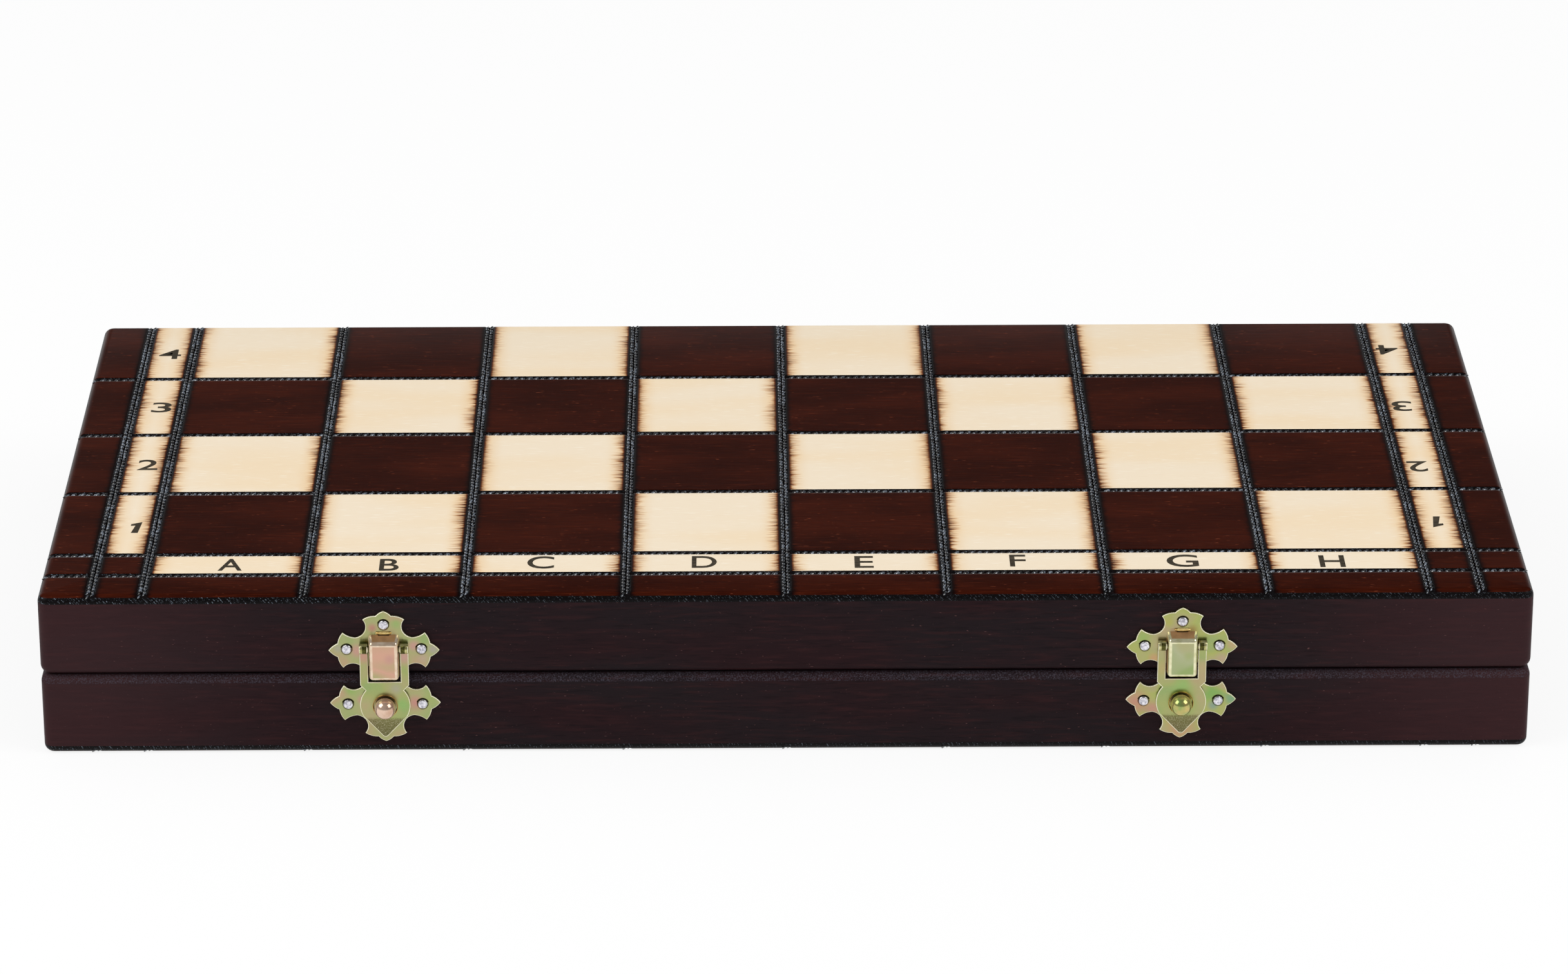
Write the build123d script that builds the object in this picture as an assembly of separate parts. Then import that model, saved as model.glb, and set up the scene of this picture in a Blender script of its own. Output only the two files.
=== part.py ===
from build123d import *
import os

# A folding chess box: two shallow wooden trays joined by two butt hinges along the back and
# held shut by two clasps along the front. The outer face of each tray is half a chess board,
# so the opened box is a square board.
# Origin at the middle of the box's underside. +X runs along the files, the clasps are on the
# -Y side, the hinges on the +Y side. The box is closed. Sizes are in millimetres.

# Box
length = 350.0            # long side, which is also the side of the opened board
closed_height = 40.5      # underside to top face, closed
seam_gap = 0.2            # between the two rims, closed
corner_radius = 2.5       # upright outer corners
edge_radius = 2.0         # rounding of the outer edges of the faces and of the rims
rail_thickness = 8.5
corner_lap = 4.25         # how far a side rail's end is let into the front and back rails
panel_thickness = 4.0
felt_thickness = 1.0
felt_clearance = 0.3

# Board on each outer face, measured from the outer edges inwards
files = 8
ranks_per_half = 4
outer_margin = 12.4
coordinate_band = 12.1    # the strip that holds the letters or the numbers
groove_width = 2.2
groove_depth = 0.6

# Butt hinges
hinge_places = {"left": -95.0, "right": 95.0}
leaf_width = 25.0
leaf_reach = 7.5          # from the back face into the rim
leaf_thickness = 0.8
knuckle_radius = 1.75
knuckle_clearance = 0.2   # around and between the knuckles
hinge_standoff = 0.15     # hinge axis behind the back face
hinge_pin_radius = 0.9
tight_fit = 0.02          # radial, where a pin or a stud is held
running_fit = 0.05        # radial, where a pin or a bar turns
mortise_clearance = 0.1
screw_spacing = 15.0
screw_inset = 4.0         # screw axis from the back face
screw_head_radius = 1.7
screw_radius = 0.9
screw_length = 7.0
screw_slot_width = 0.4
screw_slot_depth = 0.3

# Clasps. Heights are measured up from the middle of the seam.
clasp_places = {"left": -94.2, "right": 92.7}
sheet = 0.8               # thickness of the plates and of the hasp
upper_plate_rise = 6.55   # line of the two outer nails of the upper plate
strike_plate_rise = -6.95
nail_reach = 8.75         # outer nails from the clasp's centre line
side_nail_rise = 0.3
top_nail_rise = 6.5
nail_head_radius = 1.17
nail_head_height = 0.45
nail_head_round = 0.36
nail_hole_radius = 1.35   # countersink at the plate's front
nail_radius = 0.65
nail_length = 6.0
nail_point = 1.0
nail_tip_radius = 0.1
bar_rise = 7.55           # the bar at the top of the hasp, on which it turns
bar_radius = 0.9
ear_radius = 1.2          # rolled ends of the bar, outside the cap
hasp_clearance = 0.2      # between the hasp and the plates
hasp_half_width = 5.73
hasp_shoulder_rise = -2.05
hasp_notch = (4.5, -3.35)
hasp_belly = (5.9, -6.95)
hasp_flank = (5.0, -10.3)
hasp_tip_side = (0.75, -14.3)
hasp_tip_round = (0.41, -14.56)
hasp_tip_rise = -14.65
hasp_bend_rise = -10.7    # below this the tail leans outwards
hasp_tail_lean = 1.4      # how far the tip stands further out
window_half_width = 3.8
window_rise = -1.2        # lower edge of the window round the cap
ball_rise = -7.5
ball_radius = 2.53
ball_stand = 3.0          # ball's centre in front of the wood
ball_hole_radius = 2.78
stem_radius = 1.3
rivet_radius = 1.6
rivet_thickness = 0.6
cap_half_width = 3.5
cap_front = 3.8           # cap's front in front of the wood
cap_wall = 0.5
cap_low = 0.2
cap_high = 10.65          # where the sloping top meets the plate
cap_shoulder = 9.45       # top of the cap's front face
cap_edge_radius = 0.45
tab_half_width = 1.55
tab_height = 0.6
tab_stand = 0.45          # tab in front of the plate
spring_half_width = 2.6
spring_thickness = 0.3
spring_low = 1.4
spring_high = 9.4

# Right half of a plate's outline, from the top of its upper arm, measured from the line of the
# side arms. Every second entry is a point on the arc between its neighbours.
plate_outline = [
    (0, 9.95), (0.98, 9.48), (1.8, 8.75), (3.5, 8.52), (4.9, 7.8),        # upper arm
    (4.25, 5.6), (6.7, 3.25), (8.2, 3.6), (9.6, 4.5),                     # hollow between the arms
    (10.45, 3.2), (10.85, 1.75), (12.05, 1.0), (13.0, 0),                 # side arm
    (12.05, -1.0), (10.85, -1.75), (10.45, -3.2), (9.6, -4.5),
    (7.5, -3.4), (5.5, -4.1)]                                             # straight lower edge

depth = length / 2
pitch = (length - 2 * (outer_margin + coordinate_band)) / files
seam = closed_height / 2
tray_height = seam - seam_gap / 2
hinge_axis_y = depth / 2 + hinge_standoff
hasp_back = sheet + hasp_clearance
bar_stand = hasp_back + ear_radius

parts = {}


def block(low, high):
    """A box between two corners."""
    size = [b - a for a, b in zip(low, high)]
    return Pos(*low) * Box(*size, align=(Align.MIN, Align.MIN, Align.MIN))


def bar_along_x(radius, width, centre):
    return Pos(*centre) * Rot(0, 90, 0) * Cylinder(radius, width)


def stand_on_lid(piece):
    """Turns a tray's piece over to its place in the lid."""
    return Pos(0, 0, closed_height) * mirror(piece, about=Plane.XY)


# Trays. Each is modelled as the lower one, outer face down.

def tray_envelope():
    outer = Pos(0, 0, tray_height / 2) * Box(length, depth, tray_height)
    outer = fillet(outer.edges().filter_by(Axis.Z), corner_radius)
    faces = outer.faces().sort_by(Axis.Z)
    return fillet(faces[0].edges() + faces[-1].edges(), edge_radius)


def play_panel(envelope):
    panel = envelope & block((-length, -depth, 0), (length, depth, panel_thickness))
    last_file = files / 2 * pitch
    columns = [(i - files / 2) * pitch for i in range(files + 1)]
    columns += [-last_file - coordinate_band, last_file + coordinate_band]
    rows = [depth / 2 - (j + 1) * pitch for j in range(ranks_per_half)]
    rows += [rows[-1] - coordinate_band]
    grooves = [Pos(x, 0, 0) * Box(groove_width, 2 * depth, 2 * groove_depth) for x in columns]
    grooves += [Pos(0, y, 0) * Box(2 * length, groove_width, 2 * groove_depth) for y in rows]
    return panel - grooves


def side_rail_block(side):
    x = sorted((side * length / 2, side * (length / 2 - rail_thickness)))
    y = depth / 2 - rail_thickness + corner_lap
    return block((x[0], -y, panel_thickness), (x[1], y, tray_height))


def long_rail(envelope, side):
    y = sorted((side * depth / 2, side * (depth / 2 - rail_thickness)))
    rail = block((-length / 2, y[0], panel_thickness), (length / 2, y[1], tray_height))
    return (rail - side_rail_block(-1) - side_rail_block(1)) & envelope


def felt_liner():
    x = length / 2 - rail_thickness - felt_clearance
    y = depth / 2 - rail_thickness - felt_clearance
    return block((-x, -y, panel_thickness), (x, y, panel_thickness + felt_thickness))


# Hinges. Each leaf lies in a shallow mortise in its rim.

def knuckles(owner, x, radius, extra):
    """The base leaf holds the two outer knuckles, the lid leaf the middle one."""
    width = (leaf_width - 2 * knuckle_clearance) / 3
    step = width + knuckle_clearance
    offsets = [-step, step] if owner == "base" else [0]
    return [bar_along_x(radius, width + 2 * extra, (x + o, hinge_axis_y, seam)) for o in offsets]


def leaf_plate(owner, x, grow=0.0):
    near, far = seam_gap / 2, seam_gap / 2 + leaf_thickness
    z = (seam - far, seam - near) if owner == "base" else (seam + near, seam + far)
    half = leaf_width / 2 + grow
    return block((x - half, depth / 2 - leaf_reach - grow, z[0]), (x + half, hinge_axis_y, z[1]))


def screws(owner, x):
    face = seam - seam_gap / 2
    solids = []
    for side in (-1, 1):
        sink = Cone(screw_radius, screw_head_radius, leaf_thickness,
                    align=(Align.CENTER, Align.CENTER, Align.MAX))
        shank = Cylinder(screw_radius, screw_length, align=(Align.CENTER, Align.CENTER, Align.MAX))
        slot = Box(4 * screw_radius, screw_slot_width, 2 * screw_slot_depth)
        place = Pos(x + side * screw_spacing / 2, depth / 2 - screw_inset, face)
        solids.append((place * (sink + shank), place * slot))
    if owner == "lid":
        solids = [(stand_on_lid(body), stand_on_lid(slot)) for body, slot in solids]
    return solids


def hinge_leaf(owner, x):
    other = "lid" if owner == "base" else "base"
    leaf = leaf_plate(owner, x)
    leaf -= knuckles(other, x, knuckle_radius + knuckle_clearance, knuckle_clearance)
    leaf += knuckles(owner, x, knuckle_radius, 0)
    fit = tight_fit if owner == "base" else running_fit
    leaf -= bar_along_x(hinge_pin_radius + fit, 2 * leaf_width, (x, hinge_axis_y, seam))
    return leaf - [body for body, slot in screws(owner, x)]


def hinge_mortise(owner, x):
    hollow = bar_along_x(knuckle_radius + knuckle_clearance, leaf_width + 2 * knuckle_clearance,
                         (x, hinge_axis_y, seam))
    return [leaf_plate(owner, x, mortise_clearance), hollow]


# Clasps. Modelled looking at the front: x to the right, y up from the seam, z out of the wood.

def on_front(x):
    return Plane(origin=(x, -depth / 2, seam), x_dir=(1, 0, 0), z_dir=(0, -1, 0)).location


def arc_chain(points):
    """Joins points by arcs. Every second entry is a point on the arc, or None for a line."""
    edges = []
    for start, middle, end in zip(points[0:-2:2], points[1:-1:2], points[2::2]):
        edges.append(ThreePointArc(start, middle, end) if middle else Line(start, end))
    return edges


def symmetric_face(points):
    """A face from the right half of its outline, from top to bottom, closed across the middle."""
    left = [(-p[0], p[1]) if p else None for p in reversed(points)]
    edges = arc_chain(points) + arc_chain(left)
    for end, start in ((points[-1], left[0]), (left[-1], points[0])):
        if end[0] != start[0]:
            edges.append(Line(end, start))
    return make_face(edges)


def cross_plate():
    """Three pointed arms, up and to both sides. The origin is on the line of the side arms."""
    return extrude(symmetric_face(plate_outline), sheet)


def nail(place):
    head = Cylinder(nail_head_radius, nail_head_height + sheet / 2,
                    align=(Align.CENTER, Align.CENTER, Align.MIN))
    head = fillet(head.edges().sort_by(Axis.Z)[-1], nail_head_round)
    shank = Cylinder(nail_radius, nail_length + sheet / 2,
                     align=(Align.CENTER, Align.CENTER, Align.MAX))
    point = Pos(0, 0, -nail_length - sheet / 2) * Cone(
        nail_tip_radius, nail_radius, nail_point, align=(Align.CENTER, Align.CENTER, Align.MAX))
    return Pos(place[0], place[1], sheet / 2) * (head + shank + point)


def nail_hole(place):
    return Pos(place[0], place[1], sheet) * Cone(
        nail_head_radius, nail_hole_radius, sheet / 2, align=(Align.CENTER, Align.CENTER, Align.MAX))


def upper_nail_places():
    y = upper_plate_rise + side_nail_rise
    return [(-nail_reach, y), (nail_reach, y), (0, upper_plate_rise + top_nail_rise)]


def strike_nail_places():
    y = strike_plate_rise - side_nail_rise
    return [(-nail_reach, y), (nail_reach, y)]


def tab_leg(grow=0.0):
    """The end of the cap's tab, let through the upper plate."""
    half = tab_half_width + grow
    return block((-half, cap_high - grow, 0), (half, cap_high + tab_height + grow, sheet + tab_stand))


def tab():
    bridge = block((-tab_half_width, cap_high - tab_height, sheet),
                   (tab_half_width, cap_high + tab_height, sheet + tab_stand))
    return bridge + tab_leg()


def upper_plate():
    plate = Pos(0, upper_plate_rise, 0) * cross_plate()
    plate -= [nail_hole(p) for p in upper_nail_places()] + [nail(p) for p in upper_nail_places()]
    return plate - tab_leg(tight_fit)


def strike_plate():
    plate = Pos(0, strike_plate_rise, 0) * mirror(cross_plate(), about=Plane.XZ)
    plate -= [nail_hole(p) for p in strike_nail_places()] + [nail(p) for p in strike_nail_places()]
    return plate - Pos(0, ball_rise, 0) * Cylinder(stem_radius + tight_fit, 4 * sheet)


def ball_stud():
    ball = Pos(0, ball_rise, ball_stand) * Sphere(ball_radius)
    stem = Pos(0, ball_rise, 0) * Cylinder(
        stem_radius, ball_stand, align=(Align.CENTER, Align.CENTER, Align.MIN))
    return ball + stem + rivet(0)


def rivet(grow):
    return Pos(0, ball_rise, 0) * Cylinder(
        rivet_radius + grow, rivet_thickness + grow, align=(Align.CENTER, Align.CENTER, Align.MAX))


def cap_profile(inset):
    """Side view of the cap, sloping at the top, as points (height, distance from the wood)."""
    return [(cap_low + inset, sheet), (cap_high - 1.2 * inset, sheet),
            (cap_shoulder - 0.4 * inset, cap_front - inset), (cap_low + inset, cap_front - inset)]


def cap_solid(inset):
    side = make_face(Polyline(*[(0, y, z) for y, z in cap_profile(inset)], close=True))
    half = cap_half_width - inset
    return extrude(side, half, dir=(1, 0, 0), both=True)


def spring_cap():
    cap = cap_solid(0)
    outer = [e for e in cap.edges() if e.center().Z > sheet + 0.1]
    cap = fillet(outer, cap_edge_radius) - cap_solid(cap_wall)
    cap -= bar_along_x(bar_radius + running_fit, 4 * cap_half_width, (0, bar_rise, bar_stand))
    return cap + tab()


def leaf_spring():
    return block((-spring_half_width, spring_low, sheet),
                 (spring_half_width, spring_high, sheet + spring_thickness))


def hasp_side(reach):
    """The bent sheet of the hasp, seen from the side and run across its width."""
    top, bend, tip = bar_rise, hasp_bend_rise, hasp_tip_rise - 1
    lean = hasp_tail_lean * (bend - tip) / (bend - hasp_tip_rise)
    back = [(top, hasp_back), (bend, hasp_back), (tip, hasp_back + lean)]
    front = [(y, z + sheet) for y, z in reversed(back)]
    side = make_face(Polyline(*[(0, y, z) for y, z in back + front], close=True))
    return extrude(side, reach, dir=(1, 0, 0), both=True)


def hasp():
    front = symmetric_face([
        (hasp_half_width, bar_rise), None, (hasp_half_width, hasp_shoulder_rise), None, hasp_notch,
        hasp_belly, hasp_flank, None, hasp_tip_side, hasp_tip_round, (0, hasp_tip_rise)])
    piece = hasp_side(2 * hasp_half_width) & extrude(front, 2 * ball_stand)
    piece -= block((-window_half_width, window_rise, 0), (window_half_width, bar_rise, bar_stand))
    piece -= Pos(0, ball_rise, 0) * Cylinder(ball_hole_radius, 2 * ball_stand)
    piece += bar_along_x(bar_radius, 2 * hasp_half_width, (0, bar_rise, bar_stand))
    ear = hasp_half_width - window_half_width
    for side in (-1, 1):
        x = side * (window_half_width + ear / 2)
        piece += bar_along_x(ear_radius, ear, (x, bar_rise, bar_stand))
    return piece


# Assembly

envelope = tray_envelope()
rails = {"front_rail": long_rail(envelope, -1), "back_rail": long_rail(envelope, 1),
         "left_rail": side_rail_block(-1) & envelope, "right_rail": side_rail_block(1) & envelope}
tray = {"play_panel": play_panel(envelope), **rails, "felt_liner": felt_liner()}
for name, piece in tray.items():
    parts["base_" + name] = piece
    parts["lid_" + name] = stand_on_lid(piece)

for side, x in hinge_places.items():
    for owner in ("base", "lid"):
        fixings = screws(owner, x)
        parts[f"{owner}_back_rail"] -= hinge_mortise(owner, x) + [body for body, slot in fixings]
        parts[f"hinge_{side}_{owner}_leaf"] = hinge_leaf(owner, x)
        parts[f"hinge_{side}_{owner}_screws"] = Compound([body - slot for body, slot in fixings])
    parts[f"hinge_{side}_pin"] = bar_along_x(hinge_pin_radius, leaf_width, (x, hinge_axis_y, seam))

for side, x in clasp_places.items():
    place = on_front(x)
    upper_nails = [place * nail(p) for p in upper_nail_places()]
    strike_nails = [place * nail(p) for p in strike_nail_places()]
    parts["lid_front_rail"] -= upper_nails
    parts["base_front_rail"] -= strike_nails + [place * rivet(tight_fit)]
    pieces = {"upper_plate": upper_plate(), "spring_cap": spring_cap(), "leaf_spring": leaf_spring(),
              "hasp": hasp(), "strike_plate": strike_plate(), "ball_stud": ball_stud()}
    for name, piece in pieces.items():
        parts[f"clasp_{side}_{name}"] = place * piece
    parts[f"clasp_{side}_upper_nails"] = Compound(upper_nails)
    parts[f"clasp_{side}_strike_nails"] = Compound(strike_nails)

os.makedirs("parts", exist_ok=True)
for name, piece in parts.items():
    export_step(piece, f"parts/{name}.step")
    print(f"{name:28s} solids {len(piece.solids())}  volume {piece.volume:10.1f}")
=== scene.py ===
import math
import random

import bmesh
import bpy
from bpy.props import FloatProperty, FloatVectorProperty, IntProperty, PointerProperty
from mathutils import Matrix, Vector, noise


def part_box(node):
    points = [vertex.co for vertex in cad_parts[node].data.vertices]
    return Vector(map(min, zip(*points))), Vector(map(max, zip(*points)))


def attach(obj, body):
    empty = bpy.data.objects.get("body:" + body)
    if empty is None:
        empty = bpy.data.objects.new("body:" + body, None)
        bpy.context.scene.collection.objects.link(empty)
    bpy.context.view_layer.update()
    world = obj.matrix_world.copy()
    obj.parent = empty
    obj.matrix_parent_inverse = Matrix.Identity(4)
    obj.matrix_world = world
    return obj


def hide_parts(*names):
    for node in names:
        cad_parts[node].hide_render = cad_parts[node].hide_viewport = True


bl_info = {
    "name": "Folding Chess Box",
    "version": (1, 0, 0),
    "blender": (4, 5, 0),
    "location": "View3D > Sidebar > Chess Box",
    "description": "Dresses a folding chess box: burnt board, stained frame, clasps, hinges and felt",
    "category": "Object",
}

# Origin in the middle of the closed box's underside, in metres. +X runs from file A to file H,
# the clasps are on the -Y side, the hinges on the +Y side.
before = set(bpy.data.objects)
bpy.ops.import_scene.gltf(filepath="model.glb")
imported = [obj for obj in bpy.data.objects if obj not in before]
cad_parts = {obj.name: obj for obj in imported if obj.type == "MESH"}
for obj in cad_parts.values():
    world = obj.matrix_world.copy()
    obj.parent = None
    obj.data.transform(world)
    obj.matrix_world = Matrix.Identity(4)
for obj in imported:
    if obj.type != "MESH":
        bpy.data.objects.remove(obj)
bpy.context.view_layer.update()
PANEL_LOW, PANEL_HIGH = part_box("lid_play_panel")
FELT_LOW, FELT_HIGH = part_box("base_felt_liner")
HALVES = ("base", "lid")
SIDES = ("left", "right")
FILES = 8
RANKS_PER_HALF = 4
# Points nearer than this are one point: in the script's own shapes, and in the CAD's
OWN_MERGE = 1e-7
CAD_MERGE = 1e-6
# A map range that eases in and out, and a mix of two colours
SMOOTH = {"interpolation_type": "SMOOTHSTEP"}
COLOUR_MIX = {"out": 2, "data_type": "RGBA"}


def linear(code):
    """An sRGB hex colour as linear red, green, blue and alpha."""
    channels = [int(code[i:i + 2], 16) / 255 for i in (1, 3, 5)]
    curve = [c / 12.92 if c <= 0.04045 else ((c + 0.055) / 1.055) ** 2.4 for c in channels]
    return (*curve, 1.0)


# Settings a user may change

def length_setting(name, default, description):
    return FloatProperty(name=name, description=description, default=default, unit="LENGTH")


def colour_setting(name, code, description):
    return FloatVectorProperty(name=name, description=description, default=linear(code),
                               subtype="COLOR", size=4, min=0, max=1)


class ChessBoxSizes(bpy.types.PropertyGroup):
    """Sizes of the board that is burnt into both outer faces, and of the clasps' bright edges"""

    outer_margin: length_setting(
        "Outer margin", 0.0124, "Plain strip along the edges of the board")
    coordinate_band: length_setting(
        "Coordinate band", 0.0121, "Strip that holds the letters or the numbers")
    corner_radius: length_setting(
        "Corner radius", 0.0025, "Upright outer corners of the box")
    edge_radius: length_setting(
        "Edge radius", 0.0020, "Rounded edges of the faces and of the rims")
    groove_width: length_setting(
        "Groove width", 0.0024, "Burnt grooves that run front to back")
    row_groove_width: length_setting(
        "Row groove width", 0.0021, "Thinner burnt grooves that run left to right")
    groove_depth: length_setting(
        "Groove depth", 0.0006, "Depth of the burnt grooves")
    face_inset: length_setting(
        "Face inset", 0.00003, "How far the wood lies below the stamped letters")
    strand_pitch: length_setting(
        "Strand pitch", 0.0018, "Spacing of the strands that the burning wheel pressed in")
    sheet_edge: length_setting(
        "Sheet edge", 0.00017, "Width of the bright cut edges of the clasps' sheet metal")
    random_seed: IntProperty(
        name="Random seed", description="Changes the small unevenness of the strands",
        default=64, min=0)


class ChessBoxColours(bpy.types.PropertyGroup):
    """Colours of the woods, the ink, the brass and the felt"""

    natural_wood: colour_setting("Natural wood", "#F1E1C8", "Light squares")
    stained_wood: colour_setting("Stained wood", "#2D0C04", "Dark squares and margins")
    frame_wood: colour_setting("Frame wood", "#20181B", "Sides of the box")
    burnt_wood: colour_setting("Burnt wood", "#0B090A", "Grooves and their strands")
    ink: colour_setting("Ink", "#3B352B", "Stamped letters and numbers")
    brass: colour_setting("Brass", "#D2AC62", "Hinge leaves")
    felt: colour_setting("Felt", "#1F5A38", "Liners inside the trays")


class BoardPlan:
    """Where the lines of the board lie, worked out from the sizes."""

    # Charred wood to each side of a groove's middle, in widths of the groove
    COLUMN_CHAR, ROW_CHAR = 0.62, 0.6

    def __init__(self, sizes):
        self.half_length = PANEL_HIGH.x
        self.half_depth = PANEL_HIGH.y
        self.top = PANEL_HIGH.z - sizes.face_inset
        self.middle = PANEL_HIGH.z / 2
        self.band = sizes.coordinate_band
        self.pitch = (2 * self.half_length - 2 * (sizes.outer_margin + self.band)) / FILES
        self.last_file = FILES / 2 * self.pitch
        columns = [(i - FILES / 2) * self.pitch for i in range(FILES + 1)]
        self.columns = columns + [-self.last_file - self.band, self.last_file + self.band]
        rows = [self.half_depth - (j + 1) * self.pitch for j in range(RANKS_PER_HALF)]
        self.rows = rows + [rows[-1] - self.band]
        self.column_char = sizes.groove_width * self.COLUMN_CHAR
        self.row_char = sizes.row_groove_width * self.ROW_CHAR

    def to_column(self, x):
        """Distance from the nearest line that runs front to back."""
        return min(abs(x - column) for column in self.columns)

    def to_row(self, y):
        """Distance from the nearest line that runs left to right."""
        return min(abs(y - row) for row in self.rows)

    def on_column(self, x):
        """True on the charred wood of a groove that runs front to back."""
        return self.to_column(x) < self.column_char

    def on_row(self, y):
        """True on the charred wood of a groove that runs left to right."""
        return self.to_row(y) < self.row_char

    def is_light(self, x, y, half):
        """True where the wood is left unstained: light squares, letter cells and number cells."""
        from_hinge = self.half_depth - y
        file, rank = math.floor(x / self.pitch + FILES / 2), math.floor(from_hinge / self.pitch)
        on_files = abs(x) < self.last_file
        on_ranks = from_hinge < RANKS_PER_HALF * self.pitch
        if on_files and on_ranks:
            return (file + rank) % 2 == (1 if half == "base" else 0)
        in_letters = on_files and from_hinge < RANKS_PER_HALF * self.pitch + self.band
        in_numbers = on_ranks and abs(x) < self.last_file + self.band
        return in_letters or in_numbers


# Nodes and materials

def put(tree, kind, inputs=(), out=0, stops=(), **settings):
    """Adds a node, sets it, links or fills its inputs, and returns one of its outputs. The
    inputs are in order or by name, and hex codes are colours."""
    node = tree.nodes.new("ShaderNode" + kind)
    for name, value in settings.items():
        setattr(node, name, value)
    named = inputs if isinstance(inputs, dict) else dict(enumerate(inputs))
    for name, value in named.items():
        if isinstance(value, bpy.types.NodeSocket):
            tree.links.new(value, node.inputs[name])
        else:
            node.inputs[name].default_value = linear(value) if isinstance(value, str) else value
    if stops:
        elements = node.color_ramp.elements
        while len(elements) < len(stops):
            elements.new(1.0)
        for element, (position, code) in zip(elements, stops):
            element.position = position
            element.color = linear(code)
    return None if out is None else node.outputs[out]


def start_material(name):
    """An empty material. Returns it, its tree, and the place on the object in metres."""
    material = bpy.data.materials.new(name)
    material.use_nodes = True
    tree = material.node_tree
    tree.nodes.clear()
    return material, tree, put(tree, "TexCoord", out="Object")


def end_material(material, colour, relief=None, strength=0.0, depth=0.0002, **sockets):
    """Joins the colour, the relief and the shader's own sockets to the material's output."""
    tree = material.node_tree
    inputs = {name.replace("_", " "): value for name, value in sockets.items()}
    inputs["Base Color"] = colour
    if relief:
        inputs["Normal"] = put(tree, "Bump", {"Height": relief, "Strength": strength,
                                              "Distance": depth})
    surface = put(tree, "BsdfPrincipled", inputs)
    put(tree, "OutputMaterial", {"Surface": surface}, out=None)
    return material


def streaks(tree, place, long_mm, wide_mm, grain_axis="X", detail=1.0):
    """Noise drawn out along the grain, its blotches about long_mm by wide_mm."""
    scale = [1000 / wide_mm] * 3
    scale["XYZ".index(grain_axis)] = 1000 / long_mm
    stretched = put(tree, "Mapping", {"Vector": place, "Scale": scale})
    return put(tree, "TexNoise", {"Vector": stretched, "Scale": 1.0, "Detail": detail})


def laid_over(tree, under, over, pattern, low, high, least=0.0, most=1.0, **blend):
    """The colour over laid on under. Its cover goes from least to most while the pattern goes
    from low to high."""
    cover = put(tree, "MapRange", (pattern, low, high, least, most), **SMOOTH)
    return put(tree, "Mix", {0: cover, 6: under, 7: over}, **COLOUR_MIX, **blend)


def column_distance(tree, place, plan, sizes):
    """Distance in metres from the edge of the nearest groove that runs front to back."""
    x = put(tree, "SeparateXYZ", (place,), out="X")
    across = put(tree, "Math", (x,), operation="ABSOLUTE")
    inner = put(tree, "Math", (across, plan.pitch / 2), operation="PINGPONG")
    beyond = put(tree, "Math", (across, plan.last_file + plan.band), operation="SUBTRACT")
    outer = put(tree, "Math", (beyond,), operation="ABSOLUTE")
    nearest = put(tree, "Math", (inner, outer), operation="MINIMUM")
    return put(tree, "Math", (nearest, sizes.groove_width / 2), operation="SUBTRACT")


def natural_birch(plan, sizes, colours):
    """Sliced birch veneer under clear lacquer: pale cream with fine whitish streaks, scorched
    in jagged tongues along the grain where the hot wheel ran front to back."""
    material, tree, place = start_material("lacquered natural birch")
    broad = streaks(tree, place, 60, 16)
    wood = laid_over(tree, colours.natural_wood, "#F1DCBC", broad, 0.35, 0.7)
    # Vessels of 2 to 6 mm, 0.1 mm wide, drawn at 0.4 mm so that they show
    pale = streaks(tree, place, 4, 0.4)
    wood = laid_over(tree, wood, "#FBF2E2", pale, 0.6, 0.78, 0, 0.6)
    brown = streaks(tree, place, 6, 0.45)
    wood = laid_over(tree, wood, "#E3C6A0", brown, 0.62, 0.8, 0, 0.25)
    # Tongues 0.2 mm wide that follow the fibres, 0.7 to 4.7 mm out from the groove
    distance = column_distance(tree, place, plan, sizes)
    tongue = streaks(tree, place, 12, 0.17, detail=2.0)
    raised = put(tree, "MapRange", (tongue, 0.34, 0.72), **SMOOTH)
    sharp = put(tree, "Math", (raised, 1.4), operation="POWER")
    cell = streaks(tree, place, 30, 14)
    length = put(tree, "MapRange", (cell, 0.3, 0.7, 0.0022, 0.0040), **SMOOTH)
    reach = put(tree, "Math", (sharp, length, 0.0007), operation="MULTIPLY_ADD")
    share = put(tree, "Math", (distance, reach), operation="DIVIDE")
    burn = put(tree, "ValToRGB", (share,),
               stops=[(0.0, "#0A0605"), (0.24, "#2A100A"), (0.46, "#74381E"),
                      (0.74, "#C99664"), (1.0, "#F0DAB0")])
    wood = laid_over(tree, wood, burn, share, 0.82, 1.12, 1, 0)
    wood = laid_over(tree, wood, "#F0CA88", distance, 0.0, 0.0055, 0.4, 0, blend_type="MULTIPLY")
    return end_material(material, wood, pale, 0.08, Roughness=0.36, Specular_IOR_Level=0.1)


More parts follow.
